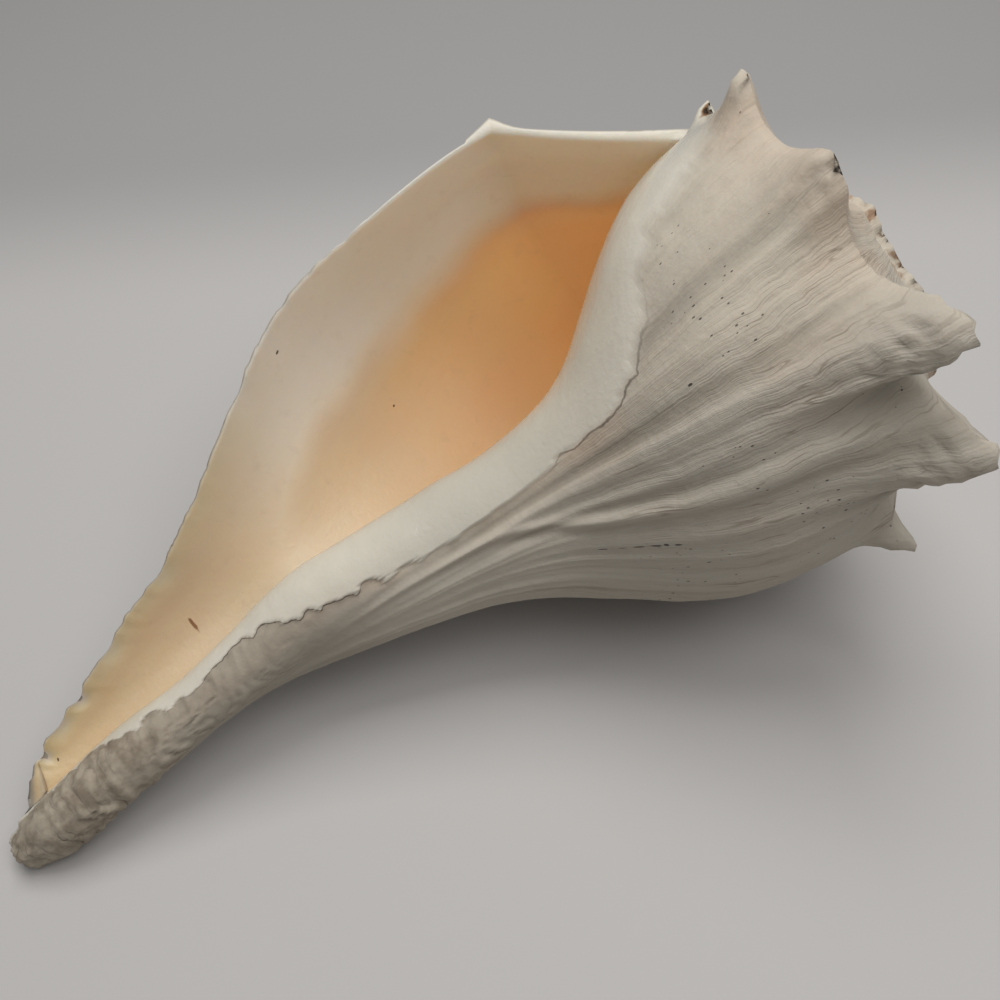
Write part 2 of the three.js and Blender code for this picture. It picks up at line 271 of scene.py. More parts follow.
def addSheet(index, turns, heights, flip=False):
    a, b = index[:-1, :-1], index[1:, :-1]
    c, d = index[1:, 1:], index[:-1, 1:]
    quads = np.stack([a, b, c, d], -1).reshape(-1, 4)
    coords = np.stack([turns, heights], -1)
    maps = np.stack([coords[:-1, :-1], coords[1:, :-1], coords[1:, 1:], coords[:-1, 1:]],
                    -2).reshape(-1, 4, 2)
    if flip:
        quads, maps = quads[:, ::-1], maps[:, ::-1]
    for quad, place in zip(quads.tolist(), maps.tolist()):
        corners, spots = [], []
        for v, p in zip(quad, place):
            if v not in corners:
                corners.append(v)
                spots.append(p)
        if len(corners) > 2:
            faces.append(corners)
            faceMap.append(spots)


def wallGrid(turns, columns):
    # radius and height for each row and column of a whorl's outer face
    t = turns[:, None] * np.ones(len(columns))[None]
    r, u = np.zeros_like(t), np.zeros_like(t)
    for k, j in enumerate(columns):
        if j < seamCol:
            r[:, k], u[:, k] = rampPoint(turns, rampShares[j])
        elif j <= endCol:
            down = downShares[j - seamCol]
            u[:, k] = seam(turns) + (growth["canalEnd"] - seam(turns)) * down
            if j == endCol:
                r[:, k] = stem(u[:, k], turns)
            else:
                r[:, k], u[:, k] = sidePoint(turns, u[:, k])
        else:
            u[:, k] = growth["nub"][j - endCol - 1]
            r[:, k] = stem(u[:, k], turns)
    return r, u


kinds = {"outside": 0, "inner": 1, "outer": 2, "rim": 3}

# spire: the three earlier whorls
spireTurns = np.concatenate([growth["firstTurn"] + k + within[:-1] for k in range(3)] + [[-1.0]])
spireCols = np.arange(0, seamCol + 1)
spireR, spireU = wallGrid(spireTurns, spireCols)
apex = addVertices(np.zeros(1), np.zeros(1), shoulderHeight(growth["firstTurn"]) * np.ones(1),
                   np.array([growth["firstTurn"]]), kinds["outside"], 0.0)[0]
spire = np.full(spireR.shape, apex)
spire[1:, 1:] = addVertices(spireTurns[1:, None], spireR[1:, 1:], spireU[1:, 1:],
                            spireTurns[1:, None], kinds["outside"], spireCols[None, 1:] / seamCol)
for i in range(rows + 1, len(spireTurns)):
    spire[i, 0] = spire[i - rows, seamCol]
spire[:rows + 1, 0] = apex

# last whorl
lastTurns = -1 + within
lastCols = np.arange(0, lastCol + 1)
lastR, lastU = wallGrid(lastTurns, lastCols)
cut = chipped(lastTurns[:, None] * np.ones(lastR.shape), lastU)
cutR, cutU = lastR.copy(), lastU.copy()
nearLip = lastTurns > -lipChips["reach"]
for k in np.where(nearLip)[0]:
    for j in range(topCol, lowCol):
        u = lastU[k, j]
        cutR[k, j] = side(u, cut[k, j])
last = addVertices(cut, cutR, cutU, lastTurns[:, None], kinds["outside"],
                   np.minimum(lastCols[None] / seamCol, 1))
last[0, :seamCol + 1] = spire[-1]
last[1:, 0] = spire[len(spireTurns) - 1 - rows + 1:, seamCol]
last[-1, 0] = last[0, seamCol]
last[-1, endCol:] = last[0, endCol:]
tip = addVertices(np.zeros(1), np.zeros(1), growth["tipHeight"] * np.ones(1), np.array([-0.5]),
                  kinds["outside"], 1.0)[0]

# inner wall of the hollow: the older whorl and the pillar
hollowRows = fineness["hollowRows"]
hollowTurns = -growth["hollowDepth"] * (
    np.arange(hollowRows + 1) / hollowRows)**fineness["hollowCrowd"]
topHeights = seam(-1 + hollowTurns) + growth["hollowTopGap"]
lowHeights = hollowEnd(hollowTurns)
lowHeights[0] = lastU[0, lowCol]
innerShare = (downShares[edge:lowCol - seamCol + 1] - downShares[edge]) / (
    downShares[lowCol - seamCol] - downShares[edge])
innerU = topHeights[:, None] + (lowHeights - topHeights)[:, None] * innerShare[None]
innerR = side(innerU, (-1 + hollowTurns)[:, None] * np.ones(innerU.shape))
inner = addVertices((-1 + hollowTurns)[:, None], innerR, innerU, hollowTurns[:, None],
                    kinds["inner"], 1.0)
inner[0] = last[0, topCol:lowCol + 1]


# outer side of the hollow: the inside face of the last whorl
def innerFace(turn, j, fromR, fromU, toU):
    # radius and height of the inside face; it follows the hollows between the knobs, and
    # near the lip it keeps level with the outside
    t = wallAt(turn)
    cornerR, cornerU = shoulderRadius(turn) - t, shoulderHeight(turn) + 1.15 * t
    if j < seamCol:
        w = rampShares[j]
        length = np.hypot(cornerR - fromR, cornerU - fromU)
        dent = knobShapes(turn, -length * (1 - w), True)[0] * w
        return (fromR + (cornerR - fromR) * w + dent,
                fromU + (cornerU - fromU) * w
                + growth["rampSwell"] * length * np.sin(math.pi * w))
    w = (downShares[j - seamCol] + 0.02) / 1.02
    u = cornerU + (toU - cornerU) * w
    level = seam(turn) + (growth["canalEnd"] - seam(turn)) * downShares[j - seamCol]
    u = u + (level - u) * smoothStep(-0.1, 0, turn) * (
        1 - smoothStep(0.93, 1, downShares[j - seamCol]))
    slope = side(u + 0.5, turn) - side(u - 0.5, turn)
    dent = knobShapes(turn, u - shoulderHeight(turn), True)[0]
    return side(u, turn) + dent - t * np.hypot(1, slope), u


startR, startU = innerR[:, 0].copy(), topHeights.copy()
startR[0], startU[0] = lastR[0, topCol], lastU[0, topCol]
goalR = innerR[:, -1].copy()
goalR[0] = lastR[0, lowCol]
finalR = innerFace(hollowTurns, endCol, startR, startU, lowHeights)[0]
outerR, outerU = np.zeros((hollowRows + 1, endCol + 1)), np.zeros((hollowRows + 1, endCol + 1))
for j in range(endCol + 1):
    r, u = innerFace(hollowTurns, j, startR, startU, lowHeights)
    tail = smoothStep(0.72 + 0.235 * smoothStep(-0.14, 0, hollowTurns), 1,
                      0 if j < seamCol else downShares[j - seamCol])
    outerR[:, j], outerU[:, j] = r + tail * (goalR - finalR), u
outerCut = chipped(hollowTurns[:, None] * np.ones(outerU.shape),
                   lastU[-1:, :endCol + 1] * np.ones(outerU.shape))
outer = addVertices(outerCut, outerR, outerU, hollowTurns[:, None], kinds["outer"],
                    np.minimum(np.arange(endCol + 1)[None] / seamCol, 1))
outer[:, 0] = inner[:, 0]
outer[:, -1] = inner[:, -1]
print("shell rows and columns laid out")

# everything so far, as places around the coil axis
radius, height, angle, turnOf, kindOf, shareOf = (
    np.concatenate(vertexLists[k]) for k in ("r", "u", "angle", "turn", "kind", "share"))
# distance from the shoulder line along the whorl, less than zero on the ramp
along = np.where(shareOf < 1, -30 * (1 - shareOf), height - shoulderHeight(turnOf))
knobOut, knobLean = knobShapes(turnOf, along)
knobOut, knobLean = (np.where(kindOf == kinds["outside"], v, 0) for v in (knobOut, knobLean))
around = 2 * math.pi * angle + knobLean / np.maximum(radius, 5)
place = np.stack([radius * np.cos(around), radius * np.sin(around), height], -1)

# rounded lip edge between the outside and the inside face
lipRound = 0.5
rim = np.zeros((edge + 1, endCol + 1), int)
rim[0], rim[-1] = last[-1, :endCol + 1], outer[0]
rimPlace = []
for k in range(1, edge):
    s = k / edge
    rim[k, 0], rim[k, -1] = last[0, seamCol + k], last[0, endCol - k]
    between = place[rim[0, 1:-1]] * (1 - s) + place[rim[-1, 1:-1]] * s
    between[:, 1] += lipRound * math.sin(math.pi * s)
    rim[k, 1:-1] = len(place) + sum(len(p) for p in rimPlace) + np.arange(endCol - 1)
    rimPlace.append(between)
place = np.concatenate([place] + rimPlace)
extra = len(place) - len(radius)
knobOut = np.concatenate([knobOut, np.zeros(extra)])
along = np.concatenate([along, np.zeros(extra)])
height = place[:, 2].copy()
turnOf = np.concatenate([turnOf, np.zeros(extra)])
kindOf = np.concatenate([kindOf, np.full(extra, kinds["rim"])])
shareOf = np.concatenate([shareOf, np.ones(extra)])

# closed inner end of the hollow
loop = list(outer[-1]) + list(inner[-1][::-1][1:-1])
back = len(place)
place = np.vstack([place, place[loop].mean(0)])
height = np.append(height, place[-1, 2])
turnOf = np.append(turnOf, -growth["hollowDepth"])
kindOf = np.append(kindOf, kinds["outer"])
shareOf = np.append(shareOf, 1.0)
knobOut = np.append(knobOut, 0.0)
along = np.append(along, 0.0)

addSheet(spire, *np.broadcast_arrays(spireTurns[:, None], spireU))
addSheet(last, *np.broadcast_arrays(lastTurns[:, None], lastU))
addSheet(inner[::-1], *np.broadcast_arrays(hollowTurns[::-1, None], innerU[::-1]))
addSheet(outer[::-1], *np.broadcast_arrays(hollowTurns[::-1, None], outerU[::-1]), flip=True)
addSheet(rim, *np.broadcast_arrays(np.zeros((edge + 1, 1)), outerU[:1]))
for i in range(rows):
    faces.append([last[i, lastCol], last[i + 1, lastCol], tip])
    faceMap.append([(lastTurns[i], growth["nub"][-1]), (lastTurns[i + 1], growth["nub"][-1]),
                    (lastTurns[i], growth["tipHeight"])])
for k in range(len(loop)):
    faces.append([loop[(k + 1) % len(loop)], loop[k], back])
    faceMap.append([(-growth["hollowDepth"], 100)] * 3)

# every face as triangles, for quick sums over the whole mesh
triangles = np.array([[f[0], f[k], f[k + 1]] for f in faces for k in range(1, len(f) - 1)])


def normalsOf(points):
    n = np.cross(points[triangles[:, 1]] - points[triangles[:, 0]],
                 points[triangles[:, 2]] - points[triangles[:, 0]])
    total = np.zeros_like(points)
    for k in range(3):
        np.add.at(total, triangles[:, k], n)
    return total / np.maximum(np.linalg.norm(total, axis=1), 1e-12)[:, None]


# smooth noise for arrays
def noiseAt(x, y, z=0.0):
    x, y, z = np.broadcast_arrays(np.asarray(x, float), np.asarray(y, float), float(z))
    spots = zip(x.ravel(), y.ravel(), z.ravel())
    return np.array([noise.noise(Vector(p)) for p in spots]).reshape(x.shape)


outside = kindOf == kinds["outside"]
lastWhorl = outside & (turnOf >= -1)
onWhorl = turnOf + 1                      # 0 where the last whorl starts, 1 at the lip
girth = np.hypot(place[:, 0], place[:, 1])
mmPerDegree = np.maximum(girth, 1) * math.pi / 180
lipFade = smoothStep(0, 0.04, -turnOf)

# smooth glaze that spreads from the mouth over the pillar; its edge by height, in turns
glaze = {"edge": [(30, 0.085), (46, 0.099), (57, 0.115), (67, 0.129), (73, 0.138), (83, 0.186),
                  (98, 0.221), (109, 0.226), (141, 0.232), (160, 0.222), (173, 0.206),
                  (181, 0.171), (195, 0.136), (206, 0.1), (215, 0.07), (224, 0.08), (232, 0.099),
                  (243, 0.1), (252, 0.09), (258, 0.065), (264, 0.042), (278, 0.04), (300, 0.03)],
         "thickness": 0.8, "ragged": 0.014}
glazeEdge = curveThrough(glaze["edge"])
# rough band of old canal ends that winds along the canal; its far edge by height, in turns
canalBand = {"edge": [(150, 0.26), (175, 0.28), (195, 0.3), (211, 0.33), (238, 0.36), (250, 0.42),
                      (262, 0.5), (300, 0.55)],
             "depth": 0.8, "swell": 0.9, "pitch": 4.4, "bow": 3.4}
bandEdge = curveThrough(canalBand["edge"])
# growth folds: strength in mm, how many to a degree of growth, how fast they change along
# the height, the seed of their noise, and whether their crests are sharp
folds = [(0.8, 0.13, 0.006, 1.0, True), (0.7, 0.07, 0.004, 9.0, True), (0.5, 0.33, 0.01, 4.0, True),
         (0.8, 0.03, 0.006, 21.0, False)]
# one strong fold that runs from the shoulder down into the canal; its turn by height
bigFold = {"line": [(50, 0.342), (87, 0.344), (116, 0.339), (145, 0.288), (170, 0.268)],
           "tall": 1.1, "degrees": 3.2}

# masks, one number per vertex
wobble = 0.5 - 2.2 * np.abs(noiseAt(height * 0.1, 11.0)) + 0.3 * noiseAt(height * 0.37, 17.0)
raggedEdge = glazeEdge(height) + glaze["ragged"] * wobble * (
    1 + 1.3 * smoothStep(160, 180, height))
edgeSoft = 0.005 + 0.02 * (1 - smoothStep(60, 110, height))
glazed = lastWhorl * smoothStep(-0.5, 0.5, (raggedEdge - onWhorl) / edgeSoft)
glazed = np.where(kindOf == kinds["inner"], 1.0, glazed)
edgeAway = np.where(lastWhorl, np.clip((onWhorl - raggedEdge) / 0.02, -3, 3), 3)
# where a painted shadow line runs along the glaze's raised edge
glazeEdgeShadow = smoothStep(170, 182, height) * (1 - 0.7 * smoothStep(222, 236, height))
glazeEdgeShadow += 0.8 * smoothStep(72, 96, height) * (1 - smoothStep(110, 124, height))
bandSpread = (bandEdge(height) - onWhorl) / 0.05
inBand = lastWhorl * (1 - glazed) * smoothStep(180, 205, height) * (
    smoothStep(-0.5, 0.5, bandSpread))

# growth folds follow the lines of equal turn, drifting a little along the height
degrees = turnOf * 360
drift = 3.0 * noiseAt(turnOf * 7, height * 0.012, 2.0)
drift += 1.2 * noiseAt(turnOf * 14, height * 0.03, 5.0)
relief = np.zeros(len(place))
for strong, often, slow, seed, sharp in folds:
    spacing = mmPerDegree / often
    wave = noiseAt((degrees + drift) * often, height * slow, seed)
    wave = 0.45 - 2.2 * np.abs(wave) if sharp else wave
    relief += strong * wave * smoothStep(1.4, 4.5, spacing) * np.minimum(1, 22 / spacing)
strength = 0.3 + 0.9 * smoothStep(-0.83, -0.75, turnOf) * (
    1 - 0.5 * smoothStep(-0.5, -0.3, turnOf))
strength *= smoothStep(0.02, 0.5, np.where(turnOf < -1, 0.3, 1) * shareOf)
strength *= (1 - 0.75 * inBand) * (0.3 + 0.7 * lipFade)
bigTurn = curveThrough(bigFold["line"])(height)
bigAway = (onWhorl - bigTurn) * 360 / bigFold["degrees"] / (1 + 0.6 * smoothStep(110, 160, height))
bigRidge = bigFold["tall"] * np.exp(-bigAway**2) * smoothStep(38, 70, height) * (
    1 - smoothStep(165, 195, height))
bigRidge -= 0.6 * bigFold["tall"] * np.exp(-(bigAway - 1.9)**2) * smoothStep(60, 90, height) * (
    1 - smoothStep(150, 180, height))
# wear of the whole surface, in mm
wear = {"lumps": 0.5, "rough": 0.14, "glazeRough": 0.1, "tips": 1.5, "spire": 0.8,
        "spireSink": 0.3, "canalSink": 1.3}
lumps = np.array([noise.noise(Vector(p) * 0.05) for p in place])
rough = np.array([noise.fractal(Vector(p) * 0.16, 0.7, 2.2, 3) for p in place])
crumble = np.array([noise.fractal(Vector(p) * 0.33, 0.8, 2.1, 2) for p in place])

lift = np.zeros(len(place))
lift += outside * (1 - glazed) * (relief * strength + rough * wear["rough"] * lipFade)
lift += lastWhorl * (1 - glazed) * bigRidge
lift += outside * lumps * wear["lumps"] * lipFade
lift += lastWhorl * glazed * (
    glaze["thickness"] * smoothStep(60, 130, height) + wear["glazeRough"] * rough)

# worn knob tips, and the crumbled shoulder of the earlier whorls
wornTip = smoothStep(4, 14, knobOut)
lift += outside * wornTip * crumble * wear["tips"]
eroded = outside * smoothStep(-1.95, -1.85, turnOf) * (1 - smoothStep(-1.45, -1.35, turnOf)) * (
    smoothStep(-9, -3, along))
lift += eroded * (crumble * wear["spire"] - wear["spireSink"])

# small pits: turn, height, reach in degrees and in mm, depth in mm
pits = [(-0.9775, 26.5, 1.7, 2.0, 2.4), (-0.797, 32.5, 1.6, 2.2, 1.8), (-0.803, 39, 3.5, 4.5, 0.7),
        (-0.86, 63, 16, 1.4, 0.4)]
for at, high, wide, tall, deep in pits:
    q = ((turnOf - at) * 360 / wide)**2 + ((height - high) / tall)**2
    lift -= outside * deep * np.exp(-q)

# wrinkles across the canal band: each one an old end of the canal, bowed toward the tip
bandWidth = np.maximum(bandEdge(height) - glazeEdge(height), 0.05)
across = np.clip((onWhorl - glazeEdge(height)) / bandWidth, 0, 1)
bow = canalBand["bow"] * (1 - (2 * across - 1)**2)
phase = (height - bow) / canalBand["pitch"] + 1.5 * noiseAt(height * 0.06, across * 2.4, 6.0) + (
    0.7 * noiseAt(height * 0.21, across * 3.6, 16.0))
throughWrinkle = np.mod(phase, 1)
wrinkleSize = 0.8 + 0.6 * noiseAt(np.floor(phase) * 3.7, across * 2.2, 8.0)
wrinkle = smoothStep(0, 0.35, throughWrinkle) * (1 - smoothStep(0.8, 1, throughWrinkle))
wrinkle *= wrinkleSize
wrinkle += 0.22 * noiseAt(height * 0.55, across * 4, 3.0)
wrinkleDark = inBand * (0.15 + 0.85 * smoothStep(245, 275, height)) * (
    smoothStep(186, 215, height))
wrinkleDark *= smoothStep(-0.12, 0.4, noiseAt(height * 0.13, across * 2.6, 12.0)) * (
    0.5 + 0.5 * smoothStep(0.2, 0.8, across))
bandTone = inBand * (0.3 + 0.7 * smoothStep(225, 268, height))
bandFull = smoothStep(188, 225, height) * (1 - smoothStep(280, 298, height))
lift += inBand * (canalBand["depth"] * wrinkle * bandFull * (1 + 0.5 * smoothStep(250, 270, height))
                  + canalBand["swell"] * np.sin(math.pi * across) * bandFull)
lift -= outside * wear["canalSink"] * smoothStep(286, 297, height)
lift += outside * crumble * smoothStep(282, 294, height)
print("relief worked out")

place = place + normalsOf(place) * lift[:, None]

# lay the shell down in the frame, metres
tilt, roll = math.radians(lying["tilt"]), math.radians(lying["roll"])
axis = np.array([-math.cos(tilt), 0, -math.sin(tilt)])
upward = np.array([-math.sin(tilt), 0, math.cos(tilt)])
lipWay = np.array([0, math.cos(roll), 0]) + upward * math.sin(roll)
growWay = np.cross(lipWay, axis)
placed = (place @ np.stack([lipWay, growWay, axis]) - np.array(lying["shift"])) / 1000
placed[:, 2] = np.maximum(placed[:, 2], 0)    # nothing dips into the floor

# faces turned outward
signed = np.einsum("ij,ij->i", placed[triangles[:, 0]],
                   np.cross(placed[triangles[:, 1]], placed[triangles[:, 2]])).sum()
if signed < 0:
    faces = [f[::-1] for f in faces]
    faceMap = [m[::-1] for m in faceMap]

mesh = bpy.data.meshes.new("whelkShell")
mesh.from_pydata(placed.tolist(), [], faces)
mesh.update()
shell = bpy.data.objects.new("whelkShell", mesh)
bpy.context.scene.collection.objects.link(shell)
mesh.shade_smooth()
growthMap = mesh.uv_layers.new(name="growthMap")
growthMap.uv.foreach_set("vector", np.array([(t, h / 100) for m in faceMap for t, h in m],
                                            np.float32).ravel())

# how peach the inside is: pale at the lip, deepest a little way in, paler down the canal
peach = {"startTurn": [(40, 0.055), (80, 0.055), (110, 0.06), (150, 0.06), (200, 0.02),
                       (235, -0.02), (290, -0.03)],
         "fullTurn": [(40, 0.1), (80, 0.1), (110, 0.105), (150, 0.125), (200, 0.11),
                      (235, 0.04), (290, 0.0)],
         "strength": [(40, 0.95), (62, 1), (80, 0.97), (100, 0.86), (130, 0.74), (160, 0.6),
                      (180, 0.42), (195, 0.3), (215, 0.3), (240, 0.42), (265, 0.55), (290, 0.7)]}
inwardTurn = np.maximum(-turnOf, 0) + 0.012 * noiseAt(height * 0.05, turnOf * 12, 14.0)
peachStart, peachFull = curveThrough(peach["startTurn"]), curveThrough(peach["fullTurn"])
peachHere = curveThrough(peach["strength"])(height)
peachShare = peachHere * smoothStep(
    0, 1, (inwardTurn - peachStart(height)) / (peachFull(height) - peachStart(height)))
peachShare = np.where(kindOf == kinds["inner"],
                      peachHere * smoothStep(0.01, 0.06, inwardTurn), peachShare)
inside = np.where((kindOf == kinds["inner"]) | (kindOf == kinds["outer"]), 1.0, 0.0)
inside[rim[1]], inside[rim[2]], inside[rim[3]] = 0.3, 0.7, 0.95
inside[rim[1, 0]] = inside[rim[2, 0]] = inside[rim[3, 0]] = 0
inside[rim[1:4, -1]] = 0
rimmed = np.where(kindOf == kinds["rim"], 1.0, 0.0)
lipLow = smoothStep(112, 150, height)
rimDark = rimmed * lipLow
rimDark[rim[2]] *= 0.4
rimDark[rim[3]] *= 0.1
# painted shade: the flank below a line that runs a quarter whorl past the mouth, turned down and
# away from the lights, is made greyer
flank = lastWhorl * smoothStep(0, 0.09, onWhorl - 0.225 + 0.08 * smoothStep(150, 190, height))
# every mask goes to the material under its own name
masks = {"inside": inside, "peach": peachShare * (inside > 0.4), "glazed": glazed,
         "band": bandTone, "crease": np.where(inBand > 0.3, 0, -relief * strength),
         "wrinkleDark": wrinkleDark, "wrinkleCount": phase, "glazeEdgeShadow": glazeEdgeShadow,
         "edgeAway": edgeAway, "flank": flank, "knobby": np.clip(knobOut / 15, 0, 1),
         "eroded": eroded, "girth": np.clip(girth / 80, 0, 1), "rimmed": rimmed * (1 - lipLow),
         "rimDark": rimDark}
for name, values in masks.items():
    layer = mesh.attributes.new(name, "FLOAT", "POINT")
    layer.data.foreach_set("value", values.astype(np.float32))
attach(shell, "root")
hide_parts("shell")
print("shell mesh made:", len(mesh.vertices), "points,", len(triangles), "triangles")


def toLinear(r, g, b):
    # screen tones 0-255 to the linear values a shader wants
    return tuple((c / 255 / 12.92 if c <= 10 else ((c / 255 + 0.055) / 1.055)**2.4)
                 for c in (r, g, b)) + (1,)


class NodeDesk:
    # short hand for placing and joining shader nodes
    def __init__(self, material):
        self.tree = material.node_tree
        self.column = 0

    def add(self, kind, label="", settings=None, **inputs):
        node = self.tree.nodes.new(kind)
        node.label = label
        node.location = (-1800 + 180 * (self.column % 9), 600 - 190 * (self.column // 9))
        self.column += 1
        for key, value in (settings or {}).items():
            setattr(node, key, value)
        for key, value in inputs.items():
            self.feed(node, key.replace("_", " "), value)
        return node

    def feed(self, node, socket, value):
        target = node.inputs[socket]
        if isinstance(value, bpy.types.NodeSocket):
            self.tree.links.new(value, target)
        elif isinstance(value, bpy.types.Node):
            self.tree.links.new(value.outputs[0], target)
        else:
            target.default_value = value

    def math(self, operation, a, b=0.0, label=""):
        node = self.add("ShaderNodeMath", label, {"operation": operation})
        self.feed(node, 0, a)
        self.feed(node, 1, b)
        return node.outputs[0]

    def times(self, a, b, label=""):
        return self.math("MULTIPLY", a, b, label)

    def vector(self, operation, a, b, label=""):
        node = self.add("ShaderNodeVectorMath", label, {"operation": operation})
        self.feed(node, 0, a)
        self.feed(node, 1, b)
        return node

    def ramp(self, value, low, high, toLow=0.0, toHigh=1.0, label="", smooth=True):
        node = self.add("ShaderNodeMapRange", label,
                        {"interpolation_type": "SMOOTHSTEP" if smooth else "LINEAR"})
        for socket, v in zip(range(5), (value, low, high, toLow, toHigh)):
            self.feed(node, socket, v)
        return node.outputs[0]

    def mix(self, share, a, b, label=""):
        node = self.add("ShaderNodeMix", label, {"data_type": "RGBA"})
        self.feed(node, 0, share)
        self.feed(node, 6, a)
        self.feed(node, 7, b)
        return node.outputs[2]

    def attribute(self, name):
        return self.add("ShaderNodeAttribute", name, {"attribute_name": name}).outputs["Fac"]

    def noise(self, vector, scale, detail=2.0, roughness=0.5, label=""):
        node = self.add("ShaderNodeTexNoise", label)
        self.feed(node, "Vector", vector)
        for socket, v in (("Scale", scale), ("Detail", detail), ("Roughness", roughness)):
            node.inputs[socket].default_value = v
        return node.outputs[0]

    def stretched(self, vector, scale, label=""):
        node = self.add("ShaderNodeMapping", label)
        self.feed(node, "Vector", vector)
        node.inputs["Scale"].default_value = scale
        return node.outputs[0]


# the shell's surface: tones, among them painted shade and a painted glow, how strong each marking
# is, and how shiny each part is
shellSkin = {
    "chalk": (192, 182, 165), "warmPatch": (190, 171, 151), "coolStreak": (171, 166, 154),
    # the dark dirt tone also serves as painted shade and painted shadow
    "greyLine": (136, 127, 112), "paintedFlankShade": (172, 165, 152), "dirtAndShade": (74, 60, 44),
    "speck": (36, 28, 22), "rust": (134, 92, 54), "knobWhite": (178, 170, 156),
    "glaze": (217, 211, 196), "glazeShade": (208, 201, 185), "lipCream": (241, 234, 222),
    "tan": (240, 224, 202), "peach": (238, 198, 148), "deepPeach": (240, 192, 132),
    "canalTan": (206, 180, 142), "paintedCanalShade": (134, 127, 114), "lowGlaze": (182, 177, 163),
    "canalGrey": (166, 155, 137), "canalDark": (118, 105, 87), "rimWhite": (226, 220, 206),
    "paintedGlowTone": (255, 210, 128), "paintedGlowStrength": 0.08,
    "chalkRoughness": 0.85, "glazeRoughness": 0.16, "insideRoughness": 0.38,
    "glow": 0.5, "glowOutside": 0.1, "glowReach": 0.008, "glowTint": (1.0, 0.66, 0.42),
    "lineBump": 0.75, "lineDepth": 0.0006, "grainBump": 0.22, "grainDepth": 0.0003,
    "glazeBump": 0.3, "markStrength": 0.9, "markRagged": 2.2,
}
# small marks: turn, height in mm, half lengths across the growth lines and along them in mm,
# distance from the coil axis in mm, 1 for the inside of the mouth, and the tone
marks = [
    (-0.6165, 104.0, 0.35, 0.7, 46, 0, "speck"), (-0.6175, 106.4, 0.45, 0.45, 45, 0, "speck"),
    (-0.6165, 108.6, 0.35, 1.1, 44, 0, "speck"), (-0.6160, 112.2, 0.25, 1.0, 42, 0, "speck"),
    (-0.6150, 116.0, 0.2, 1.2, 38, 0, "speck"), (-0.6140, 120.0, 0.2, 1.3, 35, 0, "speck"),
    (-0.749, 83.0, 0.4, 0.6, 52, 0, "speck"),
    (-0.9775, 27.3, 1.3, 2.1, 58, 0, "rust"), (-0.978, 27.3, 0.8, 1.4, 58, 0, "speck"),
    (-0.797, 32.5, 0.9, 1.3, 62, 0, "speck"),
    (-0.083, 227.5, 2.3, 0.5, 38, 1, "rust"), (-0.019, 161.5, 0.55, 0.6, 78, 1, "speck"),
    (-0.125, 144.0, 0.4, 0.45, 75, 1, "speck"), (-0.027, 276.9, 0.25, 0.3, 20, 1, "speck")]

skin = bpy.data.materials.new("whelkSkin")
skin.use_nodes = True
skin.node_tree.nodes.clear()
desk = NodeDesk(skin)
tone = {k: toLinear(*v) for k, v in shellSkin.items()
        if isinstance(v, tuple) and k != "glowTint"}
objectSpot = desk.add("ShaderNodeTexCoord").outputs["Object"]
growthSpot = desk.add("ShaderNodeUVMap", "growth map", {"uv_map": "growthMap"}).outputs[0]
mask = {name: desk.attribute(name) for name in masks}

# growth lines: long along the whorl's height, very short across it
wander = desk.noise(growthSpot, 9.0, 2.0, 0.5, label="wander")
bent = desk.add("ShaderNodeVectorMath", "bent growth map", {"operation": "MULTIPLY_ADD"})
desk.feed(bent, 0, desk.add("ShaderNodeCombineXYZ", "", None, X=wander))
bent.inputs[1].default_value = (0.012, 0, 0)
desk.feed(bent, 2, growthSpot)
wideLines = desk.noise(desk.stretched(bent.outputs[0], (60, 1.0, 1)), 1.0, 3.0, 0.6,
                       "wide growth lines")
fineLines = desk.noise(desk.stretched(bent.outputs[0], (260, 2.2, 1)), 1.0, 3.0, 0.65,
                       "fine growth lines")
hairLines = desk.noise(desk.stretched(bent.outputs[0], (700, 8, 1)), 1.0, 2.0, 0.6, "hair lines")
blotches = desk.noise(objectSpot, 26.0, 3.0, 0.55, label="blotches")
grain = desk.noise(objectSpot, 900.0, 2.0, 0.6, label="chalky grain")
mottle = desk.noise(objectSpot, 190.0, 3.0, 0.62, label="mottling")
growthParts = desk.add("ShaderNodeSeparateXYZ", "turn and height")
desk.feed(growthParts, 0, growthSpot)
turnHere, heightHere = growthParts.outputs["X"], growthParts.outputs["Y"]
lineShare = desk.times(desk.ramp(mask["girth"], 0.1, 0.6, label="fewer lines on the canal"),
                       desk.ramp(turnHere, -0.86, -0.74, 0.4, 1.0))
centredMottle = desk.math("SUBTRACT", mottle, 0.5)


def share(value, low, high, strong):
    # a marking's share of the colour, from a noise or a mask
    return desk.ramp(value, low, high, 0.0, strong)


# chalky outside
chalk = desk.mix(share(blotches, 0.4, 0.66, 0.8), tone["chalk"], tone["warmPatch"], "warm patches")
chalk = desk.mix(desk.times(share(wideLines, 0.44, 0.66, 0.5), lineShare), chalk,
                 tone["coolStreak"], "wide streaks")
chalk = desk.mix(desk.times(share(fineLines, 0.5, 0.74, 0.42), lineShare), chalk,
                 tone["greyLine"], "fine streaks")
chalk = desk.mix(share(mottle, 0.5, 0.78, 0.22), chalk, tone["greyLine"], "mottling")
# painted shade: the downward flank is greyed
chalk = desk.mix(share(mask["flank"], 0, 1, 0.72), chalk, tone["paintedFlankShade"], "painted shade on the flank")
# painted shade: the outside of the canal is darkened toward its end
chalk = desk.mix(share(heightHere, 1.65, 2.0, 0.55), chalk, tone["paintedCanalShade"], "painted shade on the canal")
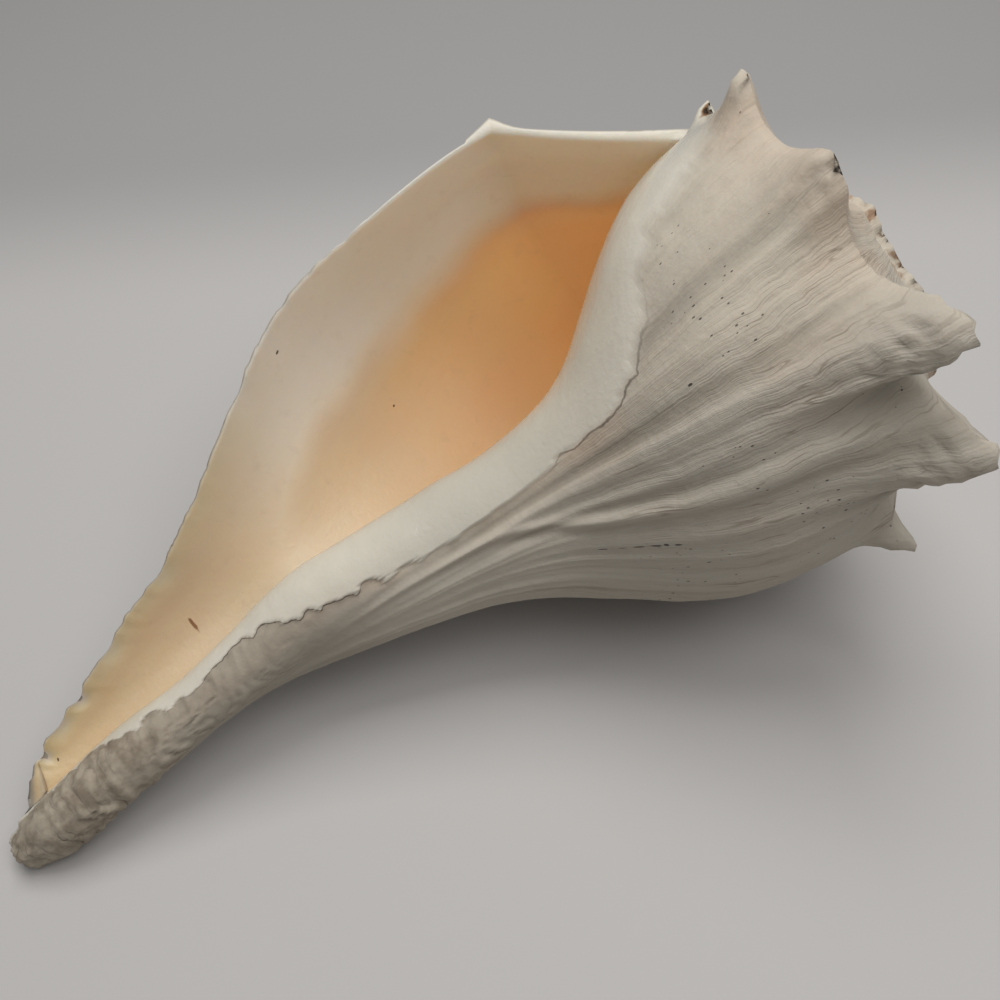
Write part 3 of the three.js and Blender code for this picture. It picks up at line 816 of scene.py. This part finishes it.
# dust and painted shade darken the folds, and wear and a painted highlight lighten the crests; both
# follow the fold relief
chalk = desk.mix(share(mask["crease"], 0.1, 0.9, 0.6), chalk, tone["greyLine"],
                 "dust and painted shade in the folds")
chalk = desk.mix(share(mask["crease"], -0.15, -0.7, 0.45), chalk, tone["knobWhite"],
                 "wear and painted highlight on the crests")
# thin dark lines along some of the growth lines
foldLine = desk.ramp(desk.math("ABSOLUTE", desk.math("SUBTRACT", wideLines, 0.47)), 0.012, 0.002)
foldLine = desk.times(desk.times(foldLine, lineShare), share(blotches, 0.42, 0.58, 0.55))
chalk = desk.mix(foldLine, chalk, tone["canalDark"], "thin dark lines")
chalk = desk.mix(share(mask["knobby"], 0.25, 0.9, 0.5), chalk, tone["knobWhite"], "worn knobs")
rustNoise = desk.noise(objectSpot, 130.0, 3.0, 0.7, "rust")
chalk = desk.mix(desk.times(share(rustNoise, 0.5, 0.62, 0.7), mask["eroded"]), chalk,
                 tone["rust"], "brown marks on the spire")
# grey-brown canal end, with dirt and painted shade in its wrinkles
canal = desk.mix(desk.ramp(mottle, 0.35, 0.7), tone["canalGrey"], tone["canalDark"])
outsideTone = desk.mix(share(mask["band"], 0, 1, 0.75), chalk, canal, "canal band")
# smooth glaze on the pillar
glazeTone = desk.mix(desk.ramp(blotches, 0.35, 0.7), tone["glaze"], tone["glazeShade"])
greyerBelow = desk.times(share(heightHere, 1.0, 1.25, 0.6), desk.ramp(heightHere, 1.8, 1.5))
glazeTone = desk.mix(greyerBelow, glazeTone, tone["lowGlaze"], "greyer below")
outsideTone = desk.mix(mask["glazed"], outsideTone, glazeTone, "glaze")
wrinkleAway = desk.math("ADD", mask["wrinkleCount"], desk.times(centredMottle, 0.6))
wrinkleAway = desk.math("SUBTRACT", desk.math("FRACT", wrinkleAway), 0.5)
creaseLine = desk.ramp(desk.math("ABSOLUTE", wrinkleAway), 0.42, 0.5,
                       label="creases between the old canal ends")
creaseShare = desk.times(desk.times(creaseLine, mask["wrinkleDark"]),
                         desk.ramp(blotches, 0.3, 0.55, 0.4, 1.0))
# dirt and painted shade darken the creases between the old canal ends
outsideTone = desk.mix(desk.times(creaseShare, 0.85), outsideTone, tone["dirtAndShade"],
                       "grime and painted shade in the creases")
# painted shadow: a thin dark line along the raised edge of the glaze
edgeShadowLine = desk.math("ADD", desk.math("SUBTRACT", mask["edgeAway"], 0.15),
                     desk.times(centredMottle, 0.5))
edgeShadowLine = desk.times(desk.ramp(desk.math("ABSOLUTE", edgeShadowLine), 0.11, 0.03),
                      desk.times(mask["glazeEdgeShadow"], 0.8))
outsideTone = desk.mix(edgeShadowLine, outsideTone, tone["dirtAndShade"], "painted shadow along the glaze edge")
# small dark specks, drawn out along the growth lines
speckCells = desk.add("ShaderNodeTexVoronoi", "specks", {"feature": "F1"})
desk.feed(speckCells, "Vector", desk.stretched(growthSpot, (210, 34, 1)))
speckCells.inputs["Scale"].default_value = 1.0
speckRoom = desk.noise(objectSpot, 34.0, 2.0, label="where specks are")
speckSize = share(speckRoom, 0.4, 0.6, 0.15)
speckShare = desk.ramp(desk.math("SUBTRACT", speckSize, speckCells.outputs["Distance"]), 0.0, 0.03)
speckShare = desk.times(speckShare, share(mask["girth"], 0.35, 0.6, 0.8))
speckShare = desk.times(speckShare, desk.math("SUBTRACT", 1.0, mask["glazed"]))
speckShare = desk.times(speckShare, desk.ramp(mask["knobby"], 0.5, 0.2))
outsideTone = desk.mix(speckShare, outsideTone, tone["speck"], "specks")
# inside of the mouth
cloudyPeach = desk.math("ADD", mask["peach"],
                        desk.times(desk.math("SUBTRACT", blotches, 0.5), 0.35))
insideTone = desk.mix(desk.ramp(cloudyPeach, 0.0, 0.35), tone["lipCream"], tone["tan"])
insideTone = desk.mix(desk.ramp(cloudyPeach, 0.25, 0.75), insideTone, tone["peach"])
insideTone = desk.mix(desk.ramp(cloudyPeach, 0.75, 1.05), insideTone, tone["deepPeach"])
canalShare = desk.times(desk.ramp(heightHere, 1.2, 1.6), desk.ramp(mask["peach"], 0.06, 0.4))
canalShare = desk.math("MAXIMUM", canalShare, desk.ramp(heightHere, 1.6, 2.1))
insideTone = desk.mix(desk.times(canalShare, 0.75), insideTone, tone["canalTan"],
                      "darker down the canal")
insideTone = desk.mix(share(blotches, 0.35, 0.7, 0.15), insideTone, tone["glaze"])
insideTone = desk.mix(share(mottle, 0.55, 0.8, 0.12), insideTone, tone["canalGrey"])
skinTone = desk.mix(mask["inside"], outsideTone, insideTone, "inside")
skinTone = desk.mix(share(mask["rimmed"], 0, 1, 0.8), skinTone, tone["rimWhite"], "white lip edge")
skinTone = desk.mix(share(mask["rimDark"], 0, 1, 0.4), skinTone, tone["dirtAndShade"], "dark lip edge")
# the single marks, each an oval with a ragged outline; those of one tone share their nodes
ragged = desk.times(centredMottle, shellSkin["markRagged"])
for toneName in ("rust", "speck"):
    for isInside in (0, 1):
        nearest = None
        for turnAt, heightAt, acrossMm, alongMm, fromAxis, markInside, name in marks:
            if (markInside, name) != (isInside, toneName):
                continue
            acrossScale, alongScale = 2 * math.pi * fromAxis / acrossMm, 100 / alongMm
            sized = desk.add("ShaderNodeVectorMath", "mark", {"operation": "MULTIPLY_ADD"})
            desk.feed(sized, 0, growthSpot)
            sized.inputs[1].default_value = (acrossScale, alongScale, 1)
            sized.inputs[2].default_value = (-turnAt * acrossScale, -heightAt / 100 * alongScale, 0)
            away = desk.add("ShaderNodeVectorMath", "", {"operation": "LENGTH"})
            desk.feed(away, 0, sized)
            away = away.outputs["Value"]
            nearest = away if nearest is None else desk.math("MINIMUM", nearest, away)
        onSide = mask["inside"] if isInside else desk.math("SUBTRACT", 1.0, mask["inside"])
        inMark = desk.ramp(desk.math("ADD", nearest, ragged), 1.25, 0.75,
                           0.0, shellSkin["markStrength"], "mark share")
        skinTone = desk.mix(desk.times(inMark, onSide), skinTone, tone[toneName], "marks")

# how shiny each part is, and its fine relief
roughOut = desk.ramp(mask["glazed"], 0, 1, shellSkin["chalkRoughness"],
                     shellSkin["glazeRoughness"], smooth=False)
roughness = desk.ramp(mask["inside"], 0, 1, roughOut, shellSkin["insideRoughness"], smooth=False)
ripple = desk.noise(objectSpot, 420.0, 2.0, 0.5, "glaze ripple")
bumpLines = desk.math("ADD", fineLines, desk.times(hairLines, 0.5))
bumpLines = desk.math("ADD", desk.times(bumpLines, lineShare), desk.times(mottle, 0.9))
smoothParts = desk.math("MAXIMUM", mask["inside"], mask["glazed"])
bumpHeight = desk.mix(smoothParts, bumpLines, desk.times(ripple, shellSkin["glazeBump"]), "relief")
fineBump = desk.add("ShaderNodeBump", "growth relief")
fineBump.inputs["Strength"].default_value = shellSkin["lineBump"]
fineBump.inputs["Distance"].default_value = shellSkin["lineDepth"]
desk.feed(fineBump, "Height", bumpHeight)
grainBump = desk.add("ShaderNodeBump", "grain")
grainBump.inputs["Strength"].default_value = shellSkin["grainBump"]
grainBump.inputs["Distance"].default_value = shellSkin["grainDepth"]
desk.feed(grainBump, "Height", grain)
desk.feed(grainBump, "Normal", fineBump.outputs[0])
surface = desk.add("ShaderNodeBsdfPrincipled", "shell surface")
desk.feed(surface, "Base Color", skinTone)
desk.feed(surface, "Roughness", roughness)
desk.feed(surface, "Normal", grainBump.outputs[0])
surface.inputs["IOR"].default_value = 1.5
# painted light: a faint emitted glow where the inside is peach, in place of daylight coming through
# the thin wall
paintedGlowShare = desk.times(desk.ramp(mask["peach"], 0.35, 0.95), desk.ramp(heightHere, 1.15, 0.8))
desk.feed(surface, "Emission Color", desk.mix(paintedGlowShare, (0, 0, 0, 1), tone["paintedGlowTone"],
                                              "painted glow in place of light through the thin wall"))
surface.inputs["Emission Strength"].default_value = shellSkin["paintedGlowStrength"]
desk.feed(surface, "Subsurface Weight", desk.ramp(mask["inside"], 0, 1, shellSkin["glowOutside"],
                                                  shellSkin["glow"]))
surface.inputs["Subsurface Radius"].default_value = shellSkin["glowTint"]
surface.inputs["Subsurface Scale"].default_value = shellSkin["glowReach"]
output = desk.add("ShaderNodeOutputMaterial", "output")
desk.feed(output, "Surface", surface.outputs[0])
mesh.materials.append(skin)
print("shell material made")

# flat pale floor, with painted shade that makes it a little greyer behind the shell
floorLook = {"width": 5.0, "tone": (187, 184, 181), "farShadeTone": (159, 157, 155), "fadeFrom": 0.16,
             "fadeTo": 0.27, "roughness": 0.8}
# which way "forward" is for the floor and the lights, turned about the vertical from +Y
heading = math.radians(-25.8)
backward = (-math.sin(heading), math.cos(heading), 0)
half = floorLook["width"] / 2
floorMesh = bpy.data.meshes.new("floorSheet")
floorMesh.from_pydata([(-half, -half, 0), (half, -half, 0), (half, half, 0), (-half, half, 0)], [],
                      [(0, 1, 2, 3)])
floor = bpy.data.objects.new("floorSheet", floorMesh)
bpy.context.scene.collection.objects.link(floor)
floorMaterial = bpy.data.materials.new("palePaper")
floorMaterial.use_nodes = True
floorDesk = NodeDesk(floorMaterial)
floorSpot = floorDesk.add("ShaderNodeTexCoord").outputs["Object"]
floorAway = floorDesk.vector("DOT_PRODUCT", floorSpot, backward, "distance behind the shell")
floorShader = floorMaterial.node_tree.nodes["Principled BSDF"]
# painted shade: the floor's colour darkens with distance behind the shell
floorDesk.feed(floorShader, "Base Color", floorDesk.mix(
    floorDesk.ramp(floorAway.outputs["Value"], floorLook["fadeFrom"], floorLook["fadeTo"]),
    toLinear(*floorLook["tone"]), toLinear(*floorLook["farShadeTone"])))
floorShader.inputs["Roughness"].default_value = floorLook["roughness"]
floorMesh.materials.append(floorMaterial)
print("floor made")

# two broad soft lights overhead, one a little behind the shell and one a little in front
lightSetup = {
    "back": {"forward": 0.27, "right": -0.02, "up": 1.0, "size": 0.6, "power": 5.9},
    "front": {"forward": -0.2, "right": 0.34, "up": 0.97, "size": 0.6, "power": 3.9},
    "aim": (0.02, 0, 0.05), "air": (0.64, 0.64, 0.65), "airStrength": 0.3,
}
target = Vector(lightSetup["aim"])
for name in ("back", "front"):
    spot = lightSetup[name]
    lamp = bpy.data.lights.new(name + "Light", "AREA")
    lamp.shape = "SQUARE"
    lamp.size = spot["size"]
    lamp.energy = spot["power"]
    lampObject = bpy.data.objects.new(name + "Light", lamp)
    lampPlace = Vector((spot["right"] * math.cos(heading) - spot["forward"] * math.sin(heading),
                        spot["right"] * math.sin(heading) + spot["forward"] * math.cos(heading),
                        spot["up"]))
    lampObject.location = lampPlace
    lampObject.rotation_euler = (target - lampPlace).to_track_quat("-Z", "Y").to_euler()
    bpy.context.scene.collection.objects.link(lampObject)
world = bpy.data.worlds.new("studioAir")
bpy.context.scene.world = world
world.use_nodes = True
world.node_tree.nodes["Background"].inputs[0].default_value = (*lightSetup["air"], 1)
world.node_tree.nodes["Background"].inputs[1].default_value = lightSetup["airStrength"]
print("lights made")

# camera above the canal end, looking down across the shell
cameraSetup = {"at": (-0.0594, -0.1637, 0.2912), "look": (0.265, 0.548, -0.7934),
               "up": (0.4125, 0.6793, 0.607), "lens": 38.15, "sensor": 36, "nearest": 0.01}
look = Vector(cameraSetup["look"]).normalized()
right = look.cross(Vector(cameraSetup["up"])).normalized()
upDirection = right.cross(look)
camera = bpy.data.cameras.new("camera")
camera.lens = cameraSetup["lens"]
camera.sensor_width = cameraSetup["sensor"]
camera.clip_start = cameraSetup["nearest"]
cameraObject = bpy.data.objects.new("camera", camera)
turned = Matrix((right, upDirection, -look)).transposed().to_4x4()
turned.translation = Vector(cameraSetup["at"])
cameraObject.matrix_world = turned
bpy.context.scene.collection.objects.link(cameraObject)
bpy.context.scene.camera = cameraObject
bpy.context.scene.view_settings.view_transform = "Standard"
print("camera made")
